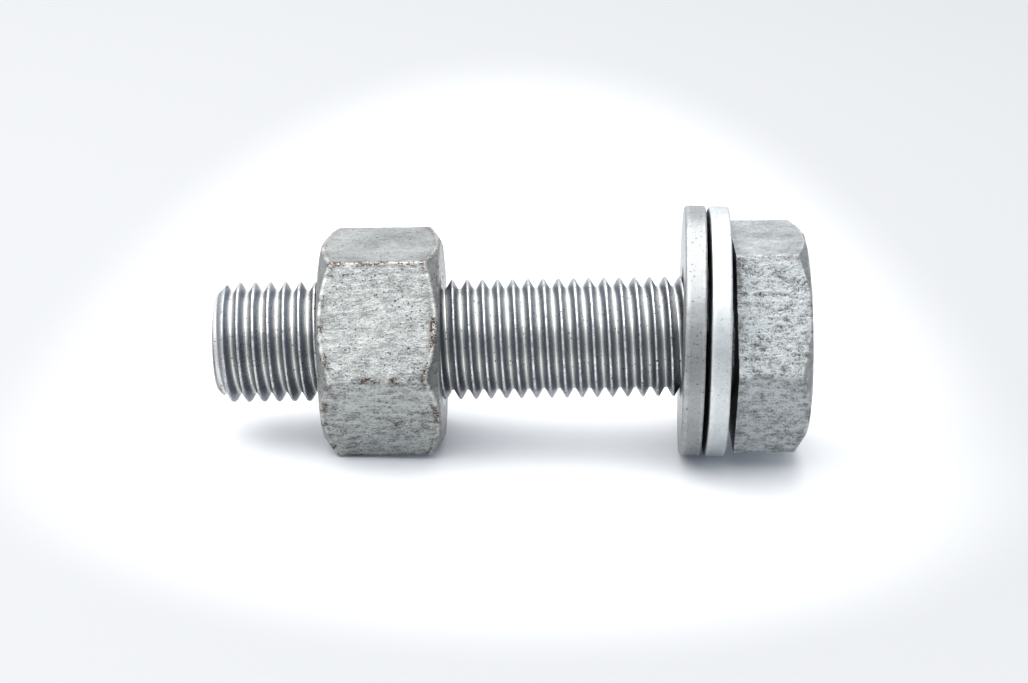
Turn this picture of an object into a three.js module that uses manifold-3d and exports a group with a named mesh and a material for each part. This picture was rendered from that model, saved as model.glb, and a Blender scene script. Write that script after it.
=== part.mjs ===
// A galvanised M20 heavy hex bolt set: a fully threaded hex bolt, its nut and two plain washers.
// Millimetres, +Z up. The bolt lies along X with its tip at -X, and the origin is the centre of
// the flat top of its head. Both hexagons have a flat above and below.

import * as THREE from "three";
import { mergeVertices } from "three/addons/utils/BufferGeometryUtils.js";
import Module from "manifold-3d";

const wasm = await Module();
wasm.setup();

// Thread: metric, right-handed, coarse pitch.
const PITCH = 2.5;
const THREAD_DIAMETER = 19.75;
const THREAD_DEPTH = 0.613 * PITCH;
const CREST_WIDTH = PITCH / 8;
const FLANK_SLOPE = Math.tan(THREE.MathUtils.degToRad(30));
const FLANK_WIDTH = THREAD_DEPTH * FLANK_SLOPE;
const ROOT_WIDTH = PITCH - CREST_WIDTH - 2 * FLANK_WIDTH;
const CREST_RADIUS = THREAD_DIAMETER / 2;
const ROOT_RADIUS = CREST_RADIUS - THREAD_DEPTH;
// Where a crest crosses the +Y side of the bolt; every other crest is a whole pitch from it.
const CREST_X = -0.77;
// Flat facets in one turn of the thread.
const FACETS = 24;
// Room between the bolt's thread and the nut's, measured along a radius.
const NUT_CLEARANCE = 0.35;

// Bolt.
const HEAD_HEIGHT = 12.1;
const HEAD_ACROSS_FLATS = 34;
const HEAD_CHAMFER_DIAMETER = 33;
const BOLT_LENGTH = 84.4;
const BEARING_X = -HEAD_HEIGHT;
const TIP_X = BEARING_X - BOLT_LENGTH;
const TIP_CHAMFER = 1.9;
const NECK_LENGTH = 5;
const NECK_RADIUS = 9.1;

// Nut: chamfered alike at both ends.
const NUT_HEIGHT = 19.6;
const NUT_ACROSS_FLATS = 33.4;
const NUT_CHAMFER_DIAMETER = 32.3;
const NUT_TIP_FACE_X = -78.9;
const NUT_BEARING_X = NUT_TIP_FACE_X + NUT_HEIGHT;
const COUNTERSINK_DIAMETER = 21.6;

// How far a hexagon's corners are cut back for each millimetre outside the chamfer's circle.
const HEX_CHAMFER_SLOPE = 0.7;
// A radius outside every hexagon's corners, where the chamfers' cones end.
const CHAMFER_REACH = 22;
// Angle between a countersink's side and the face that it is cut into.
const COUNTERSINK_ANGLE = THREE.MathUtils.degToRad(60);
const TURNED_SEGMENTS = 72;

// Washers: each stands a little off centre, leans its top toward the head and turns its front
// toward the tip (both in degrees).
const WASHER_OUTER_DIAMETER = 41.2;
const WASHER_INNER_DIAMETER = 22;
const WASHER_EDGE = 0.4;
const WASHER_SEGMENTS = 64;
const OUTER_WASHER = { thickness: 3.55, x: BEARING_X - 6.3, z: 0.95, lean: 1.4, turn: 2 };
const INNER_WASHER = { thickness: 3.4, x: BEARING_X - 2.4, z: 0.78, lean: 1.3, turn: 1.4 };

// A solid from a closed three.js geometry, without the triangles that collapse onto an axis.
function solidFrom(geometry) {
  const bare = geometry.clone();
  bare.deleteAttribute("normal");
  bare.deleteAttribute("uv");
  const welded = mergeVertices(bare, 1e-4);
  const corners = welded.index.array;
  const triangles = [];
  for (let i = 0; i < corners.length; i += 3) {
    const [a, b, c] = corners.slice(i, i + 3);
    if (a !== b && b !== c && c !== a) {
      triangles.push(a, b, c);
    }
  }
  const vertProperties = new Float32Array(welded.attributes.position.array);
  const triVerts = new Uint32Array(triangles);
  return new wasm.Manifold(new wasm.Mesh({ numProp: 3, vertProperties, triVerts }));
}

// A body turned about the X axis from [x, radius] corners given from low x to high x.
function turned(profile, segments) {
  const points = profile.map(([x, radius]) => new THREE.Vector2(radius, x));
  const geometry = new THREE.LatheGeometry(points, segments);
  geometry.rotateZ(-Math.PI / 2);
  return solidFrom(geometry);
}

// A hexagonal bar along X from one x to another, with a flat above and a flat below.
function hexBar(acrossFlats, fromX, toX) {
  const cornerRadius = acrossFlats / Math.sqrt(3);
  const geometry = new THREE.CylinderGeometry(cornerRadius, cornerRadius, toX - fromX, 6);
  geometry.rotateZ(-Math.PI / 2);
  geometry.rotateX(Math.PI / 6);
  geometry.translate((fromX + toX) / 2, 0, 0);
  return solidFrom(geometry);
}

// One helical thread as a closed solid, from firstX on for a number of turns. The four corners of
// the profile are swept in steps; the last edge of each step is the first edge one turn later.
function threadSolid(firstX, turns, clearance) {
  const profile = [
    [0, ROOT_RADIUS + clearance],
    [ROOT_WIDTH, ROOT_RADIUS + clearance],
    [ROOT_WIDTH + FLANK_WIDTH, CREST_RADIUS + clearance],
    [ROOT_WIDTH + FLANK_WIDTH + CREST_WIDTH, CREST_RADIUS + clearance],
  ];
  const steps = turns * FACETS;
  const positions = [];
  const triangles = [];
  for (let step = 0; step <= steps + FACETS; step += 1) {
    const angle = (2 * Math.PI * step) / FACETS;
    for (const [offset, radius] of profile) {
      const x = firstX + (PITCH * step) / FACETS + offset;
      positions.push(x, radius * Math.cos(angle), radius * Math.sin(angle));
    }
  }
  const vertex = (step, corner) => 4 * step + corner;
  const quad = (a, b, c, d) => triangles.push(a, c, b, b, c, d);
  for (let step = 0; step < steps; step += 1) {
    for (let corner = 0; corner < 3; corner += 1) {
      quad(
        vertex(step, corner),
        vertex(step, corner + 1),
        vertex(step + 1, corner),
        vertex(step + 1, corner + 1),
      );
    }
    quad(
      vertex(step, 3),
      vertex(step + FACETS, 0),
      vertex(step + 1, 3),
      vertex(step + 1 + FACETS, 0),
    );
  }
  capThread(positions, triangles, vertex, 0, false);
  capThread(positions, triangles, vertex, steps, true);
  const geometry = new THREE.BufferGeometry();
  geometry.setAttribute("position", new THREE.Float32BufferAttribute(positions, 3));
  geometry.setIndex(triangles);
  return solidFrom(geometry);
}

// Closes one end of the thread with a fan from the axis to the profile and one turn of its root.
function capThread(positions, triangles, vertex, step, atEnd) {
  const centre = positions.length / 3;
  positions.push(positions[3 * vertex(step, 0)] + PITCH / 2, 0, 0);
  const rim = [0, 1, 2, 3].map((corner) => vertex(step, corner));
  for (let turn = FACETS; turn > 0; turn -= 1) {
    rim.push(vertex(step + turn, 0));
  }
  rim.forEach((here, i) => {
    const next = rim[(i + 1) % rim.length];
    triangles.push(centre, atEnd ? next : here, atEnd ? here : next);
  });
}

// The x of a thread's first root corner, the whole number of pitches that puts it just below limit.
function threadStart(limit) {
  const rootX = CREST_X - CREST_WIDTH / 2 - FLANK_WIDTH - ROOT_WIDTH;
  return rootX + PITCH * Math.floor((limit - rootX) / PITCH);
}

// A chamfer's profile: from its circle on an end face out past a hexagon's corners. The sign says
// which way the body lies from that face.
function chamferProfile(faceX, diameter, sign) {
  const cut = (CHAMFER_REACH - diameter / 2) * HEX_CHAMFER_SLOPE;
  return [
    [faceX, diameter / 2],
    [faceX + sign * cut, CHAMFER_REACH],
  ];
}

// The thread is cut to length by an envelope: a chamfer at the tip, and a 45 degree cone that runs
// the crests out into the neck. The neck and the head are then joined to it.
function boltSolid() {
  const start = threadStart(TIP_X - 2 * PITCH);
  const turns = Math.ceil((BEARING_X + PITCH - start) / PITCH);
  const outside = CREST_RADIUS + 1;
  const runOutX = BEARING_X - NECK_LENGTH + 1;
  const envelope = turned(
    [
      [TIP_X, 0],
      [TIP_X, CREST_RADIUS - TIP_CHAMFER],
      [TIP_X + TIP_CHAMFER + 1, outside],
      [runOutX, outside],
      [runOutX + outside - NECK_RADIUS, NECK_RADIUS],
      [BEARING_X + 1, NECK_RADIUS],
      [BEARING_X + 1, 0],
    ],
    TURNED_SEGMENTS,
  );
  const neck = turned(
    [
      [BEARING_X - NECK_LENGTH, 0],
      [BEARING_X - NECK_LENGTH, ROOT_RADIUS - 0.1],
      [BEARING_X - NECK_LENGTH + 2, NECK_RADIUS],
      [BEARING_X + 1, NECK_RADIUS],
      [BEARING_X + 1, 0],
    ],
    TURNED_SEGMENTS,
  );
  const head = hexBar(HEAD_ACROSS_FLATS, BEARING_X, 0);
  const headEnvelope = turned(
    [
      [BEARING_X - 1, 0],
      [BEARING_X - 1, HEAD_ACROSS_FLATS],
      ...chamferProfile(0, HEAD_CHAMFER_DIAMETER, -1).reverse(),
      [0, 0],
    ],
    TURNED_SEGMENTS,
  );
  const thread = threadSolid(start, turns, 0).intersect(envelope);
  return thread.add(neck).add(head.intersect(headEnvelope));
}

// A hexagon cut by its two chamfers, then by the thread and a countersink at each end.
function nutSolid() {
  const low = NUT_TIP_FACE_X;
  const high = NUT_BEARING_X;
  const body = hexBar(NUT_ACROSS_FLATS, low, high);
  const envelope = turned(
    [
      [low, 0],
      ...chamferProfile(low, NUT_CHAMFER_DIAMETER, 1),
      ...chamferProfile(high, NUT_CHAMFER_DIAMETER, -1).reverse(),
      [high, 0],
    ],
    TURNED_SEGMENTS,
  );
  const start = threadStart(low - 2 * PITCH);
  const turns = Math.ceil((high + 2 * PITCH - start) / PITCH);
  const rim = COUNTERSINK_DIAMETER / 2;
  const slope = Math.tan(COUNTERSINK_ANGLE);
  const depth = (rim - ROOT_RADIUS) / slope;
  const bevel = 1 / slope;
  const lowSink = turned(
    [
      [low - bevel, 0],
      [low - bevel, rim + 1],
      [low + depth, ROOT_RADIUS],
      [low + depth, 0],
    ],
    TURNED_SEGMENTS,
  );
  const highSink = turned(
    [
      [high - depth, 0],
      [high - depth, ROOT_RADIUS],
      [high + bevel, rim + 1],
      [high + bevel, 0],
    ],
    TURNED_SEGMENTS,
  );
  const thread = threadSolid(start, turns, NUT_CLEARANCE);
  return body.intersect(envelope).subtract(thread).subtract(lowSink).subtract(highSink);
}

// A flat ring with bevelled edges, turned and then put in its leaning place on the shank.
function washerGeometry({ thickness, x, z, lean, turn }) {
  const inner = WASHER_INNER_DIAMETER / 2;
  const outer = WASHER_OUTER_DIAMETER / 2;
  const half = thickness / 2;
  const profile = [
    [-half, inner + WASHER_EDGE],
    [-half, outer - WASHER_EDGE],
    [WASHER_EDGE - half, outer],
    [half - WASHER_EDGE, outer],
    [half, outer - WASHER_EDGE],
    [half, inner + WASHER_EDGE],
    [half - WASHER_EDGE, inner],
    [WASHER_EDGE - half, inner],
    [-half, inner + WASHER_EDGE],
  ];
  const geometry = geometryOf(turned(profile, WASHER_SEGMENTS));
  geometry.rotateY(THREE.MathUtils.degToRad(lean));
  geometry.rotateZ(THREE.MathUtils.degToRad(-turn));
  geometry.translate(x, 0, z);
  return geometry;
}

// A three.js geometry from a finished solid.
function geometryOf(solid) {
  const mesh = solid.getMesh();
  const geometry = new THREE.BufferGeometry();
  geometry.setAttribute("position", new THREE.BufferAttribute(mesh.vertProperties, 3));
  geometry.setIndex(new THREE.BufferAttribute(mesh.triVerts, 1));
  geometry.computeVertexNormals();
  return geometry;
}

// A named mesh with a zinc-coloured material of its own.
function piece(name, geometry, color) {
  const material = new THREE.MeshStandardMaterial({ color, metalness: 0.9, roughness: 0.45 });
  material.name = name;
  const mesh = new THREE.Mesh(geometry, material);
  mesh.name = name;
  return mesh;
}

const group = new THREE.Group();
group.name = "hex_bolt_set";
group.add(piece("hex_bolt", geometryOf(boltSolid()), 0xb4bbc0));
group.add(piece("hex_nut", geometryOf(nutSolid()), 0xa9b0b5));
group.add(piece("outer_washer", washerGeometry(OUTER_WASHER), 0xc3c8ca));
group.add(piece("inner_washer", washerGeometry(INNER_WASHER), 0xbcc2c5));

export default group;
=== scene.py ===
# %% [markdown]
# # A galvanised hex bolt set, step by step
#
# The object is an M20 bolt, threaded almost up to its head, with its nut and two loose washers, all
# dipped in molten zinc. The CAD frame already holds every part at its real size and place. This
# lesson keeps that frame and gives each part its fine surface: a true rounded thread, forged
# hexagons with soft edges, and the mottled, speckled coat that zinc leaves on steel.
#
# The frame is loaded first, because the sizes below are read from it wherever they can be.

# %% Load the frame
import math
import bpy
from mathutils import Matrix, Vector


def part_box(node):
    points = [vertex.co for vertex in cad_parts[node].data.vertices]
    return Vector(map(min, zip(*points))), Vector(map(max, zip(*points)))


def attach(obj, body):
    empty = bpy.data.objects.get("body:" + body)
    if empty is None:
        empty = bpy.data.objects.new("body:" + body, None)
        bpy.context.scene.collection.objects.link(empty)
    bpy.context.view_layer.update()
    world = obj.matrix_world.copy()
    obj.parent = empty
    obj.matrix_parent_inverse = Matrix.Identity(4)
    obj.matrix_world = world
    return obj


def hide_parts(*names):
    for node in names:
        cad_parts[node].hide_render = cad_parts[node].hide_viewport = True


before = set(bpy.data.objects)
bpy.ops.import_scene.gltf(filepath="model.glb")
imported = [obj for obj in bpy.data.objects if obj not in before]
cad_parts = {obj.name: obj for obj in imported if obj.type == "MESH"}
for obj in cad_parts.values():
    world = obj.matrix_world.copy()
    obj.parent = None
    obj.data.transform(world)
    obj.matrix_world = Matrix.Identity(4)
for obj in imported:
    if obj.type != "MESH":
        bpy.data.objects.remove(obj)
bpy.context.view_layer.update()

from types import SimpleNamespace

import bmesh
import bpy
import numpy as np
from mathutils import Matrix, Vector, noise

# %% [markdown]
# ## Sizes
#
# Blender works in metres, so every size is a number of millimetres times `MM`. The bolt lies along
# X: the flat top of its head is at x = 0 and its tip is the frame's lowest x. Where a size can be
# read from a CAD node's box it is, and only what a box can't tell is typed in here. `CREST_X` is
# where a crest crosses the +Y side, which keeps the fine thread in step with the CAD one.

# %% Read the driving sizes
MM = 0.001
PITCH = 2.5 * MM
THREAD_RADIUS = 9.875 * MM
THREAD_DEPTH = 0.613 * PITCH
ROOT_RADIUS = THREAD_RADIUS - THREAD_DEPTH
CREST_WIDTH = PITCH / 8
CREST_X = -0.77 * MM
HEAD_HEIGHT = 12.1 * MM
TIP_CHAMFER = 1.9 * MM
NECK_RADIUS = 9.1 * MM
NECK_LENGTH = 5 * MM
NUT_CLEARANCE = 0.35 * MM

bolt_low, bolt_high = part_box("hex_bolt")
nut_low, nut_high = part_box("hex_nut")
TIP_X = bolt_low[0]
BEARING_X = -HEAD_HEIGHT
HEAD_APOTHEM = bolt_high[2]
NUT_APOTHEM = nut_high[2]
print("length under the head: %.1f mm" % ((BEARING_X - TIP_X) / MM))
print("across flats: head %.1f mm, nut %.1f mm" % (2 * HEAD_APOTHEM / MM, 2 * NUT_APOTHEM / MM))

# %% [markdown]
# ## Writing nodes as sums
#
# A node tree is easier to read as arithmetic than as a list of links. `Wire` wraps one socket. Its
# operators add Math nodes, so `1 - mask` is a node, and `node` adds any other kind: the type first,
# then its settings, then what goes into its sockets.

# %% The wire
class Wire:
    """One socket of a node tree. Operators add Math nodes; node() adds any other node."""

    def __init__(self, tree, socket=None):
        self.tree = tree
        self.socket = socket

    def node(self, kind, settings=None, inputs=None):
        made = self.tree.nodes.new(kind)
        for name, value in (settings or {}).items():
            if name == "stops":
                set_stops(made.color_ramp, value)
            else:
                setattr(made, name, value)
        for key, value in (inputs or {}).items():
            self.plug(find_socket(made.inputs, key), value)
        return Wire(self.tree, next((s for s in made.outputs if s.enabled), None))

    def plug(self, socket, value):
        if isinstance(value, Wire):
            self.tree.links.new(value.socket, socket)
        else:
            socket.default_value = value

    def out(self, key):
        """Another output of the same node."""
        return Wire(self.tree, find_socket(self.socket.node.outputs, key))

    def math(self, operation, *values):
        operands = dict(enumerate((self, *values)))
        return self.node("ShaderNodeMath", {"operation": operation}, operands)

    def __add__(self, other):
        return self.math("ADD", other)

    def __sub__(self, other):
        return self.math("SUBTRACT", other)

    def __mul__(self, other):
        return self.math("MULTIPLY", other)

    def __truediv__(self, other):
        return self.math("DIVIDE", other)

    def __radd__(self, other):
        return self + other

    def __rmul__(self, other):
        return self * other

    def __rsub__(self, other):
        return self.node("ShaderNodeMath", {"operation": "SUBTRACT"}, {0: other, 1: self})

    def clamp(self, low=0.0, high=1.0):
        return self.math("MAXIMUM", low).math("MINIMUM", high)

    def step(self, start, end):
        """0 up to start and 1 from end on, with a smooth rise between; start may be above end."""
        settings = {"interpolation_type": "SMOOTHSTEP", "clamp": True}
        return self.node("ShaderNodeMapRange", settings, {"Value": self, 1: start, 2: end})


def find_socket(sockets, key):
    """A socket by its number, identifier or name."""
    if isinstance(key, int):
        return sockets[key]
    return next((s for s in sockets if s.identifier == key), None) or sockets[key]


def set_stops(ramp, stops):
    while len(ramp.elements) < len(stops):
        ramp.elements.new(1.0)
    for element, (position, color) in zip(ramp.elements, stops):
        element.position = position
        element.color = color


# %% [markdown]
# ## The zinc coat
#
# Hot-dip zinc is pale, slightly blue and never even. Five things show: clouds a few millimetres
# wide where the coat cooled at a different speed, rough patches, streaks along the bolt, a fine
# grain, and dark specks of dross and pinholes. Handling adds more: edges are rubbed bright where
# parts knocked together, and on the nut they hold a little brown dirt.
#
# All of it is mixed from Object coordinates, so the pattern is fixed to the metal. Three marks that
# the meshes carry steer it. `edge` is 1 on an edge and falls to 0 beside it. `coarse` says how rough
# and thick the coat is. The third paints shade: it greys the sides of the thread, darker than its
# roots and crests, and half greys its end planes. Where a mesh has no such mark, the coat reads 0.

# %% What a coat is mixed from
CLOUD_SIZE = 6 * MM
PATCH_SIZE = 1.1 * MM
GRAIN_SIZE = 0.3 * MM
STREAK_SIZE = 0.45 * MM
SPECK_SIZE = 0.42 * MM
CROWD_SIZE = 3 * MM
STAIN_SIZE = 2.6 * MM


def mix_color(wire, factor, first, second):
    settings = {"data_type": "RGBA", "blend_type": "MIX"}
    inputs = {"Factor_Float": factor, "A_Color": first, "B_Color": second}
    return wire.node("ShaderNodeMix", settings, inputs).out("Result_Color")


def noise_at(wire, coords, size, detail=2.0, stretch=(1, 1, 1), roughness=0.5):
    """Noise from 0 to 1 whose lumps are about size metres wide, stretched along the axes."""
    scaling = {"Vector": coords, "Scale": tuple(1 / s for s in stretch)}
    place = wire.node("ShaderNodeMapping", {}, scaling)
    inputs = {"Vector": place, "Scale": 1 / size, "Detail": detail, "Roughness": roughness}
    return wire.node("ShaderNodeTexNoise", {}, inputs)


def coat_patterns(start):
    """The mesh's marks and the noises: the first four centred on 0, the others from 0 to 1."""
    coords = start.node("ShaderNodeTexCoord").out("Object")
    marks = {
        label: start.node("ShaderNodeAttribute", {"attribute_name": label}).out("Fac")
        for label in ("edge", "coarse", "dull")
    }
    return SimpleNamespace(
        **marks,
        clouds=noise_at(start, coords, CLOUD_SIZE, detail=3) - 0.5,
        patches=noise_at(start, coords, PATCH_SIZE, 4, (1.4, 1, 1), 0.7) - 0.5,
        fine=noise_at(start, coords, GRAIN_SIZE, detail=3, roughness=0.7) - 0.5,
        streaks=noise_at(start, coords, STREAK_SIZE, detail=2, stretch=(10, 1, 1)) - 0.5,
        scattered=noise_at(start, coords, SPECK_SIZE, detail=1),
        crowding=noise_at(start, coords, CROWD_SIZE, detail=2),
        stained=noise_at(start, coords, STAIN_SIZE, detail=4),
    )


# %% [markdown]
# The colour is built in layers, as paint would be. The clean coat is mottled between a dark and a
# light version of its tone. Painted shade then greys the thread's sides, and a painted highlight
# makes its roots pale. The marks of handling come last, each with its own mask.

# %% Layer the colours
# Painted shade: the grey of the thread's shaded sides.
PAINTED_SHADE_GREY = (0.26, 0.285, 0.32, 1)
# Painted highlight: the pale colour of the thread's roots.
PAINTED_ROOT_HIGHLIGHT = (0.80, 0.79, 0.76, 1)
RUBBED_ZINC = (0.80, 0.80, 0.78, 1)
BROWN_DIRT = (0.07, 0.045, 0.028, 1)
BLACK_DROSS = (0.04, 0.04, 0.04, 1)
DARK_SHARE, LIGHT_SHARE = 0.38, 1.6


def clean_color(start, seen, tone, contrast, root_highlight):
    """The coat before handling; a coarse coat is lighter and has stronger patches and grain."""
    shade = seen.clouds * 0.6 + seen.patches * (0.3 + 1.8 * seen.coarse)
    shade = shade + seen.fine * (0.8 + 1.2 * seen.coarse)
    shade = shade + seen.streaks * (0.15 + 0.5 * seen.coarse) + 0.24 * seen.coarse
    level = (shade * contrast + 0.5).clamp()
    dark = tuple(c * DARK_SHARE for c in tone) + (1,)
    light = tuple(min(1.0, c * LIGHT_SHARE) for c in tone) + (1,)
    color = mix_color(start, level, dark, light)
    # Painted shade: the thread's sides, and half its end planes, are greyed.
    shaded = (seen.dull * (seen.clouds * 0.9 + seen.patches * 0.3 + 0.5)).clamp(0.0, 0.95)
    color = mix_color(start, shaded, color, PAINTED_SHADE_GREY)
    # Painted highlight: the thread's roots, away from its sides and crests, are made pale.
    if root_highlight:
        root_light = (1 - seen.dull) * (1 - seen.edge) * root_highlight
        color = mix_color(start, root_light, color, PAINTED_ROOT_HIGHLIGHT)
    return color


def handling_masks(seen, specks, rubbed, dirt):
    """Where specks, rub marks and dirt show, from 0 to 1. Dirt clings to a coarse coat's edges."""
    spots = (seen.scattered + seen.crowding * 0.16).step(0.76, 0.80) * specks
    rub = seen.edge.step(0.6, 1.0) * (seen.patches * 3 + 0.55).clamp() * rubbed
    stain = seen.edge.step(0.06, 0.5) * seen.stained.step(0.42, 0.6)
    stain = stain * (seen.fine * 6 + 0.45).clamp() * (0.25 + 3 * seen.coarse).clamp() * dirt
    return spots, rub, stain


# %% [markdown]
# The relief that goes with the colour is far too fine for the mesh, so it is a bump. Dirt and dross
# aren't metal, and a rubbed edge is smoother than the coat beside it. Each part gets a coat of its
# own: the thread is bright, the head crusted, the nut dirty, the outer washer greyed by handling and
# the inner one nearly new.

# %% Make the zinc materials
METAL_SHARE = 0.92


def zinc(name, tone, roughness, grain, contrast, specks, rubbed, dirt, root_highlight=0.0):
    """A zinc coat; grain is its relief in metres, and what follows says how strong each mark is."""
    material = bpy.data.materials.new(name)
    material.use_nodes = True
    material.node_tree.nodes.clear()
    start = Wire(material.node_tree)
    seen = coat_patterns(start)
    spots, rub, stain = handling_masks(seen, specks, rubbed, dirt)
    color = clean_color(start, seen, tone, contrast, root_highlight)
    for mask, paint in ((rub, RUBBED_ZINC), (stain, BROWN_DIRT), (spots, BLACK_DROSS)):
        color = mix_color(start, mask, color, paint)

    relief = seen.fine * (0.5 + 1.2 * seen.coarse) + seen.patches * (0.3 + 5.5 * seen.coarse)
    relief = relief - spots * 0.6 + seen.streaks * 0.25
    bump = start.node("ShaderNodeBump", {}, {"Strength": 1.0, "Distance": grain, "Height": relief})
    rough = roughness + seen.fine * 0.4 + seen.clouds * 0.3 + seen.coarse * 0.12 - rub * 0.15
    inputs = {
        "Base Color": color,
        "Roughness": (rough + spots * 0.3).clamp(0.12, 0.95),
        "Metallic": (METAL_SHARE - stain - spots * 0.6).clamp(),
        "Normal": bump,
    }
    surface = start.node("ShaderNodeBsdfPrincipled", {}, inputs)
    start.node("ShaderNodeOutputMaterial", {}, {"Surface": surface})
    return material


THREAD_ZINC = zinc(
    "thread_coat", (0.34, 0.35, 0.37), roughness=0.34, grain=0.03 * MM,
    contrast=0.8, specks=0.8, rubbed=0.8, dirt=0.0, root_highlight=0.75,
)
HEAD_ZINC = zinc(
    "head_coat", (0.355, 0.37, 0.375), roughness=0.43, grain=0.12 * MM,
    contrast=1.5, specks=0.35, rubbed=0.35, dirt=0.6,
)
NUT_ZINC = zinc(
    "nut_coat", (0.315, 0.324, 0.320), roughness=0.40, grain=0.07 * MM,
    contrast=1.3, specks=0.7, rubbed=0.45, dirt=1.5,
)
WORN_ZINC = zinc(
    "worn_coat", (0.345, 0.355, 0.36), roughness=0.38, grain=0.02 * MM,
    contrast=0.5, specks=0.6, rubbed=0.2, dirt=0.1,
)
CLEAN_ZINC = zinc(
    "clean_coat", (0.58, 0.603, 0.61), roughness=0.38, grain=0.02 * MM,
    contrast=0.5, specks=0.3, rubbed=0.2, dirt=0.0,
)
print("materials:", [m.name for m in bpy.data.materials])

# %% [markdown]
# ## The thread
#
# A thread could be a profile dragged along a helix, or a core with a wire wound round it. Both leave
# seams inside the metal. It is really one strip, a pitch wide, wound so that each turn's edge meets
# the last: so the tree winds a flat grid. Across the grid runs the tooth profile, along it the
# angle. Merging the touching edges gives one closed skin.
#
# A strip end can't stop in mid-air. Past each end of the bolt the strip keeps winding but stays in
# the end plane and closes in on the axis, which makes the flat tip. In the nut it goes the other
# way: outward into the wall, and back along the outside until both ends meet.

# %% Inputs of a tree
THREAD_SIZES = [
    "Pitch", "Crest radius", "Root radius", "Crest width", "First x", "Turns",
    "Low x", "High x", "Cap radius", "Return",
]


def geometry_tree(name, sizes):
    """A Geometry Nodes tree with one named number input for each size, and a material input."""
    tree = bpy.data.node_groups.new(name, "GeometryNodeTree")
    tree.interface.new_socket("Geometry", in_out="INPUT", socket_type="NodeSocketGeometry")
    tree.interface.new_socket("Geometry", in_out="OUTPUT", socket_type="NodeSocketGeometry")
    for size in sizes:
        tree.interface.new_socket(size, in_out="INPUT", socket_type="NodeSocketFloat")
    tree.interface.new_socket("Material", in_out="INPUT", socket_type="NodeSocketMaterial")
    group_in = Wire(tree).node("NodeGroupInput")
    return tree, group_in


def round_the_axis(wire, x, radius, angle):
    """The point, or the push, at this x and angle and this far from the axis."""
    inputs = {"X": x, "Y": radius * angle.math("COSINE"), "Z": radius * angle.math("SINE")}
    return wire.node("ShaderNodeCombineXYZ", {}, inputs)


# %% [markdown]
# The marks for the material are stored while the grid is still flat, because a field is worked out
# afresh on whatever shape it meets. Small nicks in the crests are pushed in at the same time as the
# grid is wound: a thread that has been handled is never whole along its crest.

# %% The winding tree
STEPS_PER_TURN = 96
PROFILE_STEPS = 18
CAP_TURNS = 2
CREST_ROUNDING = 0.12 * MM
ROOT_ROUNDING = 0.32 * MM
NICK_DEPTH = 0.12 * MM
NICK_SIZE = 0.9 * MM
PLAIN_PAINTED_SHADE = 0.4
WELD_DISTANCE = 1e-6


def thread_tree(name, extra_sizes, shape_ends):
    """The tree of one thread; shape_ends trims the tooth's radius near the ends."""
    tree, given = geometry_tree(name, THREAD_SIZES + extra_sizes)
    pitch, turns = given.out("Pitch"), given.out("Turns")
    crest, root = given.out("Crest radius"), given.out("Root radius")
    low, high = given.out("Low x"), given.out("High x")
    columns = (turns * STEPS_PER_TURN + 1).math("ROUND")
    rows = PROFILE_STEPS + 1
    grid_inputs = {"Size X": 1.0, "Size Y": 1.0, "Vertices X": rows, "Vertices Y": columns}
    grid = given.node("GeometryNodeMeshGrid", {}, grid_inputs)
    place = given.node("ShaderNodeSeparateXYZ", {}, {0: given.node("GeometryNodeInputPosition")})
    across = place.out("X") + 0.5
    turn = (place.out("Y") + 0.5) * turns
    angle = turn * (2 * math.pi)

    # The tooth has a flat crest, flanks at 60 degrees to each other and a rounded root.
    along = given.out("First x") + (turn + across) * pitch
    from_crest = (across - 0.5).math("ABSOLUTE") * pitch - given.out("Crest width") / 2
    flank = crest - from_crest * math.sqrt(3)
    tooth = flank.math("SMOOTH_MIN", crest, CREST_ROUNDING)
    tooth = tooth.math("SMOOTH_MAX", root, ROOT_ROUNDING)
    inside = along.math("MAXIMUM", low).math("MINIMUM", high)
    radius = shape_ends(given, tooth, inside)

    # Past an end the strip stays in the end plane for the cap, and then goes back if it has to.
    past = (low - along).math("MAXIMUM", along - high).math("MAXIMUM", 0.0)
    cap = pitch * CAP_TURNS
    radius = radius + (given.out("Cap radius") - radius) * (past / cap).clamp()
    back = (past - cap).math("MAXIMUM", 0.0).math("MINIMUM", given.out("Return"))
    x = inside + back * (along.math("LESS_THAN", low) * 2 - 1)
    spot = round_the_axis(given, x, radius, angle)

    # Crests are edges and flanks get painted shade; the end planes have no crest and get half of it.
    height = (tooth - root) / (crest - root)
    on_tooth = along.math("GREATER_THAN", low) * along.math("LESS_THAN", high)
    edge = height.step(0.86, 0.99) * on_tooth
    dull = height.step(0.04, 0.20) * (1 - height.step(0.82, 0.95)) - PLAIN_PAINTED_SHADE
    dull = dull * on_tooth + PLAIN_PAINTED_SHADE
    dents = given.node("ShaderNodeTexNoise", {}, {"Vector": spot, "Scale": 1 / NICK_SIZE})
    nick = dents.step(0.52, 0.70) * edge * NICK_DEPTH
    inward = round_the_axis(given, 0.0, nick * -1, angle)

    strip = grid
    for label, value in (("edge", edge), ("dull", dull)):
        store = {"Geometry": strip, "Name": label, "Value": value}
        strip = given.node("GeometryNodeStoreNamedAttribute", {"data_type": "FLOAT"}, store)
    moved = {"Geometry": strip, "Position": spot, "Offset": inward}
    wound = given.node("GeometryNodeSetPosition", {}, moved)
    weld = {"Geometry": wound, "Distance": WELD_DISTANCE}
    welded = given.node("GeometryNodeMergeByDistance", {}, weld)
    real = given.node("GeometryNodeRealizeInstances", {}, {"Geometry": welded})
    dressed = {"Geometry": real, "Material": given.out("Material")}
    done = given.node("GeometryNodeSetMaterial", {}, dressed)
    given.node("NodeGroupOutput", {}, {"Geometry": done})
    return tree


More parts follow.
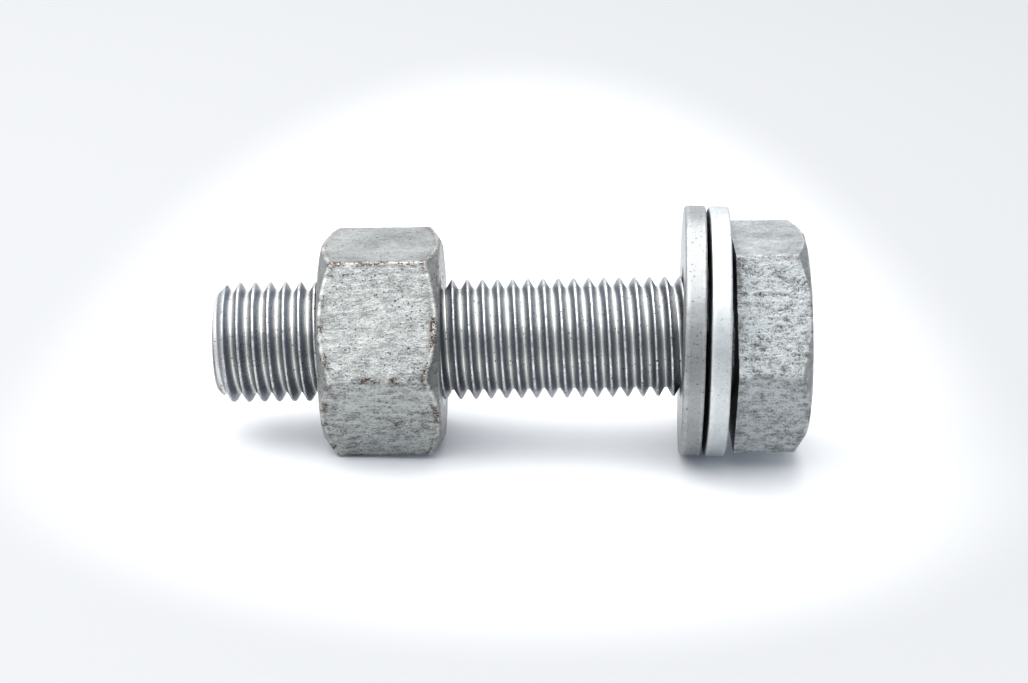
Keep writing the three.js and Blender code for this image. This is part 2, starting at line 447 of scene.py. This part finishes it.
def winding(low, high, back):
    """Where a thread's strip starts and its turns, past both ends' caps and the way back."""
    spare = (CAP_TURNS + 1) * PITCH + back
    first = CREST_X - PITCH / 2
    first += PITCH * math.floor((low - spare - first) / PITCH)
    turns = math.ceil((high + spare - first) / PITCH)
    return {"First x": first, "Turns": turns, "Low x": low, "High x": high, "Return": back}


# %% [markdown]
# A tree is run once, on an empty object, and its result is kept as a plain mesh. Every mesh then
# goes through `finished`, which welds it, turns its faces outward and counts the edges that aren't
# shared by exactly two faces: a solid piece has none.

# %% From a tree to a finished piece
def finished(name, mesh, material):
    """A mesh as a finished object: welded, facing out, smooth, with its one material."""
    work = bmesh.new()
    work.from_mesh(mesh)
    bmesh.ops.remove_doubles(work, verts=work.verts, dist=WELD_DISTANCE)
    bmesh.ops.recalc_face_normals(work, faces=work.faces)
    if work.calc_volume(signed=True) < 0:
        bmesh.ops.reverse_faces(work, faces=work.faces)
    open_edges = sum(1 for e in work.edges if len(e.link_faces) != 2)
    volume = work.calc_volume(signed=True)
    work.to_mesh(mesh)
    work.free()
    mesh.name = name
    mesh.materials.clear()
    mesh.materials.append(material)
    mesh.shade_smooth()
    piece = bpy.data.objects.new(name, mesh)
    bpy.context.collection.objects.link(piece)
    print(f"{name}: {len(mesh.polygons)} faces, {open_edges} open edges, {volume / MM**3:.0f} mm3")
    return piece


def grow(name, tree, sizes, material):
    """Runs a tree once with these sizes and keeps the result as a plain mesh object."""
    seed = bpy.data.objects.new(name + "_seed", bpy.data.meshes.new(name + "_seed"))
    bpy.context.collection.objects.link(seed)
    modifier = seed.modifiers.new("grow", "NODES")
    modifier.node_group = tree
    sockets = {s.name: s.identifier for s in tree.interface.items_tree if s.in_out == "INPUT"}
    for label, value in {**sizes, "Material": material}.items():
        modifier[sockets[label]] = value
    graph = bpy.context.evaluated_depsgraph_get()
    mesh = bpy.data.meshes.new_from_object(seed.evaluated_get(graph))
    bpy.data.objects.remove(seed)
    return finished(name, mesh, material)


# %% [markdown]
# The bolt's strip is trimmed by a 45 degree point at the tip, and runs out into a plain neck under
# the head, where the thread-rolling dies let go. It ends a little way inside the head.

# %% Wind the bolt
NECK_OVERLAP = 2 * MM
RUNOUT_LENGTH = 2 * MM
TIP_ROUNDING = 0.2 * MM


def bolt_ends(given, tooth, x):
    point = given.out("Tip radius") + (x - given.out("Low x"))
    pointed = tooth.math("SMOOTH_MIN", point, TIP_ROUNDING)
    runout = x.step(given.out("Neck x"), given.out("Neck x") + RUNOUT_LENGTH)
    return pointed + (given.out("Neck radius") - pointed) * runout


bolt_tree = thread_tree("bolt_thread", ["Tip radius", "Neck x", "Neck radius"], bolt_ends)
shank = grow(
    "bolt_shank",
    bolt_tree,
    {
        "Pitch": PITCH,
        "Crest radius": THREAD_RADIUS,
        "Root radius": ROOT_RADIUS,
        "Crest width": CREST_WIDTH,
        **winding(TIP_X, BEARING_X + NECK_OVERLAP, 0.0),
        "Cap radius": 0.0,
        "Tip radius": THREAD_RADIUS - TIP_CHAMFER,
        "Neck x": BEARING_X - NECK_LENGTH,
        "Neck radius": NECK_RADIUS,
    },
    THREAD_ZINC,
)

# %% [markdown]
# ## Rounded outlines
#
# The head, the nut and the washers are all the same idea: a path in the plane of the axis, carried
# round it. On a hexagon the path also stretches with the angle, so that its outer points follow the
# six flats. `carry_round` takes a path as corners, rounds each one, and carries it round.
#
# Forged and dipped edges are never sharp, so each corner says how far before and after it the
# rounding reaches. A corner with no rounding is only a place where the path starts or closes, and
# isn't marked as an edge.

# %% Paths and plans
MESH_SPACING = 0.4 * MM
ARC_ROWS = 5
EDGE_FADE = 0.5 * MM


def unit(vectors):
    return vectors / np.maximum(np.linalg.norm(vectors, axis=-1, keepdims=True), 1e-12)


def rounded_rows(corners, cuts, spacing):
    """Rows of (x, radius) along the path, and how near each row is to a corner (1 on it)."""
    rows, edges = [], []
    start = corners[0]
    for i in range(1, len(corners)):
        here = corners[i]
        end = here + unit(corners[i - 1] - here) * cuts[i]
        length = np.linalg.norm(end - start, axis=-1).max()
        count = max(2, math.ceil(length / spacing))
        for k in range(count):
            rows.append(start + (end - start) * k / count)
            reach = min(k if cuts[i - 1] else count, count - k if cuts[i] else count)
            reach *= length / count
            edges.append(math.exp(-reach / EDGE_FADE))
        if i == len(corners) - 1:
            break
        after = here + unit(corners[i + 1] - here) * cuts[i]
        for k in range(ARC_ROWS):
            t = k / ARC_ROWS
            rows.append((1 - t) ** 2 * end + 2 * t * (1 - t) * here + t * t * after)
            edges.append(1.0)
        start = after
    rows.append(end)
    edges.append(edges[0])
    return np.array(rows), np.array(edges)


def round_plan(radius, count):
    """Angles round the axis, with the outline's radius and its nearness to a corner at each."""
    angles = np.linspace(0, 2 * math.pi, count, endpoint=False)
    return angles, np.full(count, radius), np.zeros(count)


def hex_plan(apothem, rounding, spacing):
    """The same for a hexagon with flats above and below, its corners rounded off."""
    side = 2 * apothem / math.sqrt(3)
    flat = np.linspace(-0.5, 0.5, math.ceil(side / spacing) + 1) * side
    near = np.abs(np.abs(flat) - side / 2)
    cut = np.maximum(0, rounding - near) ** 2 / (4 * rounding)
    angles, radii, edges = [], [], []
    for face in range(6):
        middle = math.pi / 2 + face * math.pi / 3
        angles.extend(middle + np.arctan2(flat[:-1], apothem))
        radii.extend((np.hypot(flat, apothem) - cut)[:-1])
        edges.extend(np.exp(-near / EDGE_FADE)[:-1])
    return np.array(angles), np.array(radii), np.array(edges)


# %% [markdown]
# The plan's corners count as edges only on the sides, where the path is out at the outline. On the
# end faces the same angle is just flat metal.

# %% Carry a path round
SIDE_TOLERANCE = 0.4 * MM


def carry_round(name, plan, path, spacing, closed, material):
    """path(outline) gives corners as (x, radius, rounding); closed joins its last row to its first."""
    angles, outline, plan_edge = plan
    points_of_path = path(outline)
    cuts = [cut for *_, cut in points_of_path]
    corners = [np.stack(np.broadcast_arrays(x, r), axis=-1) for x, r, _ in points_of_path]
    corners = [np.broadcast_to(c, (len(angles), 2)).astype(float) for c in corners]
    rows, row_edge = rounded_rows(corners, cuts, spacing)
    if closed:
        rows, row_edge = rows[:-1], row_edge[:-1]
    x, radius = rows[..., 0], rows[..., 1]
    points = np.stack([x, radius * np.cos(angles), radius * np.sin(angles)], axis=-1)
    height, width = x.shape
    on_side = np.isclose(radius, outline[None, :], atol=SIDE_TOLERANCE)
    edge = np.maximum(row_edge[:, None], plan_edge[None, :] * on_side)
    index = np.arange(height * width).reshape(height, width)
    below = np.roll(index, -1, axis=0) if closed else index[1:]
    above = index if closed else index[:-1]
    quads = np.stack([above, np.roll(above, -1, 1), np.roll(below, -1, 1), below], axis=-1)
    mesh = bpy.data.meshes.new(name)
    mesh.from_pydata(points.reshape(-1, 3).tolist(), [], quads.reshape(-1, 4).tolist())
    mesh.attributes.new("edge", "FLOAT", "POINT").data.foreach_set("value", edge.ravel())
    return finished(name, mesh, material)


# %% [markdown]
# The mesh is fine enough for real dents. `roughen` only pushes inward, so a piece never grows past
# its CAD solid, and each piece takes its own stretch of the noise. `mark` stores a mark for the coat.

# %% Dents and marks
SEED_SHIFT = np.array((7.3, 3.1, 5.7))
DENT_OCTAVES = 3


def roughen(piece, depth, size, seed):
    """Pushes the surface in along its normals, up to depth, by smooth noise of that size."""
    mesh = piece.data
    points = np.empty((len(mesh.vertices), 3), np.float32)
    normals = np.empty_like(points)
    mesh.vertices.foreach_get("co", points.ravel())
    mesh.vertex_normals.foreach_get("vector", normals.ravel())
    shifted = points / size + seed * SEED_SHIFT
    heights = np.array([noise.fractal(point, 1.0, 2.0, DENT_OCTAVES) for point in shifted])
    points -= normals * (depth * np.clip(0.5 + 0.5 * heights, 0, 1))[:, None]
    mesh.vertices.foreach_set("co", points.ravel())
    mesh.update()


def mark(piece, label, value_at):
    """Stores an attribute for the coat, from a function of a point."""
    values = [value_at(v.co) for v in piece.data.vertices]
    piece.data.attributes.new(label, "FLOAT", "POINT").data.foreach_set("value", values)


# %% [markdown]
# A hexagon's six sides don't come out of the die and the bath alike, so each flat has a coarseness
# of its own, listed by the angle of its normal round the axis: 90 degrees is on top, 150 and 210 are
# the upper and lower front flats. Chamfers and end faces are turned, and so nearly smooth.

# %% Coarseness by flat
END_COARSENESS = 0.06
FLAT_SKIN, FLAT_FADE = 0.6 * MM, 0.4 * MM


def on_flat(point, face_angle, apothem):
    """1 on the flat whose normal is at face_angle round the axis, 0 off it."""
    reach = point.y * math.cos(face_angle) + point.z * math.sin(face_angle)
    return max(0.0, min(1.0, (reach - apothem + FLAT_SKIN) / FLAT_FADE))


def coarseness_of(flats, apothem):
    """A function of a point: each flat's own coarseness on it, and END_COARSENESS elsewhere."""

    def coarseness(point):
        value = END_COARSENESS
        for degrees, own in flats.items():
            value += (own - END_COARSENESS) * on_flat(point, math.radians(degrees), apothem)
        return max(0.0, min(1.0, value))

    return coarseness


# %% [markdown]
# ## The head
#
# The head is forged: its sides are flat but coarse, its top has a turned chamfer that cuts the six
# corners back, and its underside stays square for the washer. The upper front flat came out of the
# die rougher than the rest.

# %% Forge the head
CORNER_ROUNDING = 0.6 * MM
CHAMFER_SLOPE = 0.7
HEAD_CHAMFER_RADIUS = 16.5 * MM
HEAD_FLATS = {30: 0.5, 90: 0.1, 150: 1.0, 210: 0.6, 270: 0.5, 330: 0.8}


def head_path(outline):
    drop = (outline - HEAD_CHAMFER_RADIUS) * CHAMFER_SLOPE
    return [
        (0.0, 0.0, 0),
        (0.0, HEAD_CHAMFER_RADIUS, 0.6 * MM),
        (-drop, outline, 0.15 * MM),
        (BEARING_X, outline, 0.2 * MM),
        (BEARING_X, NECK_RADIUS - 1 * MM, 0.2 * MM),
        (BEARING_X + NECK_OVERLAP, 0.0, 0),
    ]


head_plan = hex_plan(HEAD_APOTHEM, CORNER_ROUNDING, MESH_SPACING)
head = carry_round(
    "bolt_head", head_plan, head_path, MESH_SPACING, closed=False, material=HEAD_ZINC
)
roughen(head, depth=0.10 * MM, size=1.6 * MM, seed=1)
mark(head, "coarse", coarseness_of(HEAD_FLATS, HEAD_APOTHEM))

# %% [markdown]
# ## The nut
#
# The nut is a ring, so its path closes on itself: tip-side face, chamfer, flat, chamfer, bearing
# face, countersink, bore and countersink again. Its thread is a second closed skin in the bore,
# wound by the same tree as the bolt's, in step with it and 0.35 mm further out.

# %% Make the nut
NUT_LOW_X, NUT_HIGH_X = nut_low[0], nut_high[0]
NUT_CHAMFER_RADIUS = 16.15 * MM
NUT_BORE_RADIUS = 10.35 * MM
COUNTERSINK_RADIUS = 10.8 * MM
COUNTERSINK_SLOPE = math.tan(math.radians(60))
MOUTH_DEPTH = (COUNTERSINK_RADIUS - NUT_BORE_RADIUS) / COUNTERSINK_SLOPE
OUTER_ROUNDING, MOUTH_ROUNDING = 0.28 * MM, 0.12 * MM
NUT_FLATS = {30: 0.3, 90: 0.1, 150: 0.4, 210: 0.85, 270: 0.6, 330: 0.4}


def nut_path(outline):
    drop = (outline - NUT_CHAMFER_RADIUS) * CHAMFER_SLOPE
    middle = (COUNTERSINK_RADIUS + NUT_CHAMFER_RADIUS) / 2
    return [
        (NUT_LOW_X, middle, 0),
        (NUT_LOW_X, NUT_CHAMFER_RADIUS, OUTER_ROUNDING),
        (NUT_LOW_X + drop, outline, OUTER_ROUNDING),
        (NUT_HIGH_X - drop, outline, OUTER_ROUNDING),
        (NUT_HIGH_X, NUT_CHAMFER_RADIUS, OUTER_ROUNDING),
        (NUT_HIGH_X, COUNTERSINK_RADIUS, MOUTH_ROUNDING),
        (NUT_HIGH_X - MOUTH_DEPTH, NUT_BORE_RADIUS, MOUTH_ROUNDING),
        (NUT_LOW_X + MOUTH_DEPTH, NUT_BORE_RADIUS, MOUTH_ROUNDING),
        (NUT_LOW_X, COUNTERSINK_RADIUS, MOUTH_ROUNDING),
        (NUT_LOW_X, middle, 0),
    ]


nut_plan = hex_plan(NUT_APOTHEM, CORNER_ROUNDING, MESH_SPACING)
nut = carry_round("nut_body", nut_plan, nut_path, MESH_SPACING, closed=True, material=NUT_ZINC)
roughen(nut, depth=0.07 * MM, size=1.8 * MM, seed=2)
mark(nut, "coarse", coarseness_of(NUT_FLATS, NUT_APOTHEM))

# %% [markdown]
# The thread's two caps and its way back lie inside the nut's wall, a little outside the bore, where
# nobody sees them. At both mouths the tooth is cut away by the countersink's cone.

# %% Wind the nut's thread
WALL_OVERLAP = 0.3 * MM


def nut_ends(given, tooth, x):
    low_mouth = given.out("Mouth radius") - (x - given.out("Low x")) * COUNTERSINK_SLOPE
    high_mouth = given.out("Mouth radius") - (given.out("High x") - x) * COUNTERSINK_SLOPE
    return tooth.math("MAXIMUM", low_mouth).math("MAXIMUM", high_mouth)


nut_tree = thread_tree("nut_thread", ["Mouth radius"], nut_ends)
thread_low, thread_high = NUT_LOW_X + MOUTH_DEPTH, NUT_HIGH_X - MOUTH_DEPTH
nut_thread = grow(
    "nut_thread",
    nut_tree,
    {
        "Pitch": PITCH,
        "Crest radius": THREAD_RADIUS + NUT_CLEARANCE,
        "Root radius": ROOT_RADIUS + NUT_CLEARANCE,
        "Crest width": CREST_WIDTH,
        **winding(thread_low, thread_high, (thread_high - thread_low) / 2),
        "Cap radius": NUT_BORE_RADIUS + WALL_OVERLAP,
        "Mouth radius": NUT_BORE_RADIUS,
    },
    THREAD_ZINC,
)

# %% [markdown]
# ## The washers
#
# A washer is punched from strip. The punch drags one edge round and leaves the other crisper, and
# the zinc softens both. Each CAD washer leans and turns a little, because it hangs loose on the
# shank. `set_down` puts the fine washer in the same pose: its centre comes from the node's box and
# its tilt from the lean and turn, in degrees.

# %% Punch the washers
WASHER_OUTER_RADIUS = 20.6 * MM
WASHER_INNER_RADIUS = 11 * MM
WASHER_STEPS = 288


def washer_path(thickness):
    half = thickness / 2
    middle = (WASHER_OUTER_RADIUS + WASHER_INNER_RADIUS) / 2
    return lambda outline: [
        (-half, middle, 0),
        (-half, outline, 0.75 * MM),
        (half, outline, 0.5 * MM),
        (half, WASHER_INNER_RADIUS, 0.4 * MM),
        (-half, WASHER_INNER_RADIUS, 0.4 * MM),
        (-half, middle, 0),
    ]


def set_down(piece, node, lean, turn):
    low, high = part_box(node)
    centre = (Vector(low) + Vector(high)) / 2
    turned = Matrix.Rotation(math.radians(-turn), 4, "Z")
    leaned = Matrix.Rotation(math.radians(lean), 4, "Y")
    piece.data.transform(Matrix.Translation(centre) @ (turned @ leaned))


def washer(name, node, thickness, lean, turn, coat, seed):
    plan = round_plan(WASHER_OUTER_RADIUS, WASHER_STEPS)
    path = washer_path(thickness)
    piece = carry_round(name, plan, path, MESH_SPACING, closed=True, material=coat)
    roughen(piece, depth=0.05 * MM, size=3 * MM, seed=seed)
    set_down(piece, node, lean, turn)
    return piece


outer = washer(
    "washer_outer", "outer_washer",
    thickness=3.55 * MM, lean=1.4, turn=2.0, coat=WORN_ZINC, seed=3,
)
inner = washer(
    "washer_inner", "inner_washer",
    thickness=3.4 * MM, lean=1.3, turn=1.4, coat=CLEAN_ZINC, seed=4,
)

# %% [markdown]
# ## Riding on the frame
#
# Each fine piece stands for its CAD node and moves with that node's body. The CAD node stays in the
# simulation for contact, but isn't drawn.

# %% Tie the pieces to the frame
PIECES = [
    (shank, "bolt", "hex_bolt", "bolt_zinc"),
    (head, "bolt", "hex_bolt", "bolt_zinc"),
    (nut, "nut", "hex_nut", "nut_zinc"),
    (nut_thread, "nut", "hex_nut", "nut_zinc"),
    (outer, "outer_washer", "outer_washer", "outer_washer_zinc"),
    (inner, "inner_washer", "inner_washer", "inner_washer_zinc"),
]
for piece, body, node, slot in PIECES:
    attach(piece, body)
    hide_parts(node)
print("pieces:", [piece.name for piece, *_ in PIECES])

# %% [markdown]
# ## The table
#
# The set lies on a white table. The washers are bigger than the nut, so they lift the head end: the
# table touches the washers and the nut's lower edge, which puts it at a slope of almost three
# degrees to the bolt's axis. The floor is a stage, not part of the object.

# %% Lay the floor
FLOOR_SIZE = 6.0
FLOOR_GAP = 0.05 * MM
washer_low, washer_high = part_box("inner_washer")
nut_contact = (NUT_LOW_X + (NUT_APOTHEM - NUT_CHAMFER_RADIUS) * CHAMFER_SLOPE, nut_low[2])
washer_contact = ((washer_low[0] + washer_high[0]) / 2, washer_low[2])
slope = (nut_contact[1] - washer_contact[1]) / (nut_contact[0] - washer_contact[0])


def floor_z(x):
    return washer_contact[1] + slope * (x - washer_contact[0]) - FLOOR_GAP


reach = FLOOR_SIZE / 2
floor_corners = [(-reach, -reach), (reach, -reach), (reach, reach), (-reach, reach)]
floor_mesh = bpy.data.meshes.new("floor")
floor_mesh.from_pydata([(x, y, floor_z(x)) for x, y in floor_corners], [], [(0, 1, 2, 3)])
floor = bpy.data.objects.new("floor", floor_mesh)
bpy.context.collection.objects.link(floor)
print("floor slope: %.2f degrees" % math.degrees(math.atan(slope)))

# %% [markdown]
# The paper's colour paints a pool of light: whitest round the set, greying a little outward in a
# soft oval, longer behind the set than in front. The paper also glows faintly blue, a painted light
# that keeps the shadows cool and open, as light from a pale room does.

# %% Cover it with paper
HALO_SIDE, HALO_BACK, HALO_FRONT = 82 * MM, 260 * MM, 72 * MM
HALO_START, HALO_END = 0.35, 1.15
PAINTED_LIT_PAPER = (0.80, 0.80, 0.80, 1)
PAINTED_SHADED_PAPER = (0.40, 0.40, 0.398, 1)
PAINTED_FLOOR_GLOW = (0.042, 0.05, 0.064, 1)

paper = bpy.data.materials.new("paper")
paper.use_nodes = True
paper.node_tree.nodes.clear()
sheet = Wire(paper.node_tree)
coords = sheet.node("ShaderNodeTexCoord").out("Object")
spot = sheet.node("ShaderNodeSeparateXYZ", {}, {0: coords})
aside = (spot.out("X") - TIP_X / 2) / HALO_SIDE
behind = spot.out("Y").math("MAXIMUM", 0) / HALO_BACK
ahead = spot.out("Y").math("MINIMUM", 0) / HALO_FRONT
away = (aside * aside + behind * behind + ahead * ahead).math("SQRT")
paper_inputs = {
    # Painted pool of light: the paper is whitest round the set and greyer outward.
    "Base Color": mix_color(sheet, away.step(HALO_START, HALO_END), PAINTED_LIT_PAPER, PAINTED_SHADED_PAPER),
    "Roughness": 0.75,
    "Specular IOR Level": 0.2,
    # Painted glow: the paper emits a faint blue light that lifts its shadows.
    "Emission Color": PAINTED_FLOOR_GLOW,
    "Emission Strength": 1.0,
}
paper_surface = sheet.node("ShaderNodeBsdfPrincipled", {}, paper_inputs)
sheet.node("ShaderNodeOutputMaterial", {}, {"Surface": paper_surface})
floor_mesh.materials.append(paper)
print("paper halo in mm: %.0f to each side" % (HALO_SIDE * HALO_END / MM))

# %% [markdown]
# ## Light
#
# A product table is lit by one large soft box above, a little toward the tip, in a pale room. The
# room is brightest overhead on the tip's side, a little behind the set, and darker at the horizon,
# which leaves the thread's flanks darker than its roots.

# %% Light the set
ROOM_STOPS = [
    (0.0, (0.46, 0.47, 0.49, 1)),
    (0.45, (0.64, 0.655, 0.68, 1)),
    (0.75, (0.90, 0.92, 0.95, 1)),
    (1.0, (1.0, 1.0, 1.0, 1)),
]
ROOM_STRENGTH = 0.95
SOFT_BOX_OFFSET = Vector((-0.12, 0.0, 0.65))
SOFT_BOX_SIZE = (1.4, 0.95)
SOFT_BOX_POWER = 5.6
SOFT_BOX_COLOR = (1, 0.99, 0.97)


def light_room():
    world = bpy.data.worlds.new("room")
    bpy.context.scene.world = world
    world.use_nodes = True
    world.node_tree.nodes.clear()
    start = Wire(world.node_tree)
    direction = start.node("ShaderNodeTexCoord").out("Generated")
    ray = start.node("ShaderNodeSeparateXYZ", {}, {0: direction})
    toward_window = ray.out("Z") * 0.8 + ray.out("Y") * 0.25 - ray.out("X") * 0.4
    level = toward_window * 0.5 + 0.5
    room = start.node("ShaderNodeValToRGB", {"stops": ROOM_STOPS}, {"Fac": level})
    sky_inputs = {"Color": room.out("Color"), "Strength": ROOM_STRENGTH}
    sky = start.node("ShaderNodeBackground", {}, sky_inputs)
    start.node("ShaderNodeOutputWorld", {}, {"Surface": sky})


def soft_box(name, place, target, size, power, color):
    light = bpy.data.lights.new(name, "AREA")
    light.shape = "RECTANGLE"
    light.size, light.size_y = size
    light.energy = power
    light.color = color
    lamp = bpy.data.objects.new(name, light)
    facing = (target - place).to_track_quat("-Z", "Y").to_matrix().to_4x4()
    lamp.matrix_world = Matrix.Translation(place) @ facing
    bpy.context.collection.objects.link(lamp)


light_room()
middle = Vector((TIP_X / 2, 0, 0))
soft_box(
    "top_box", middle + SOFT_BOX_OFFSET, middle, SOFT_BOX_SIZE, SOFT_BOX_POWER, SOFT_BOX_COLOR
)
print("soft box: %.1f by %.2f m, %.1f W" % (*SOFT_BOX_SIZE, SOFT_BOX_POWER))

# %% [markdown]
# ## Camera
#
# The camera looks along the thread's front from about twenty degrees above it, with a long lens.
# Aiming it by its place, the point it looks at and a small roll keeps the lens unshifted. The
# contrast of a plain product print comes from the view settings.

# %% Set the camera
VIEW_DISTANCE = 388.5 * MM
VIEW_ELEVATION = math.radians(19.88)
VIEW_AZIMUTH = math.radians(1.17)
VIEW_ROLL = math.radians(-1.17)
AIM = Vector((-47.7 * MM, 0, -0.52 * MM))
SENSOR_WIDTH = 36
LENS = 82.4

camera_data = bpy.data.cameras.new("camera")
camera_data.sensor_width = SENSOR_WIDTH
camera_data.lens = LENS
camera = bpy.data.objects.new("camera", camera_data)
bpy.context.collection.objects.link(camera)
toward_camera = Vector((
    math.sin(VIEW_AZIMUTH) * math.cos(VIEW_ELEVATION),
    -math.cos(VIEW_AZIMUTH) * math.cos(VIEW_ELEVATION),
    math.sin(VIEW_ELEVATION),
))
facing = (-toward_camera).to_track_quat("-Z", "Y").to_matrix().to_4x4()
roll = Matrix.Rotation(VIEW_ROLL, 4, "Z")
camera.matrix_world = Matrix.Translation(AIM + toward_camera * VIEW_DISTANCE) @ facing @ roll
bpy.context.scene.camera = camera
bpy.context.scene.view_settings.view_transform = "Standard"
bpy.context.scene.view_settings.look = "High Contrast"
print("camera: %.0f mm away with a %.1f mm lens" % (VIEW_DISTANCE / MM, LENS))
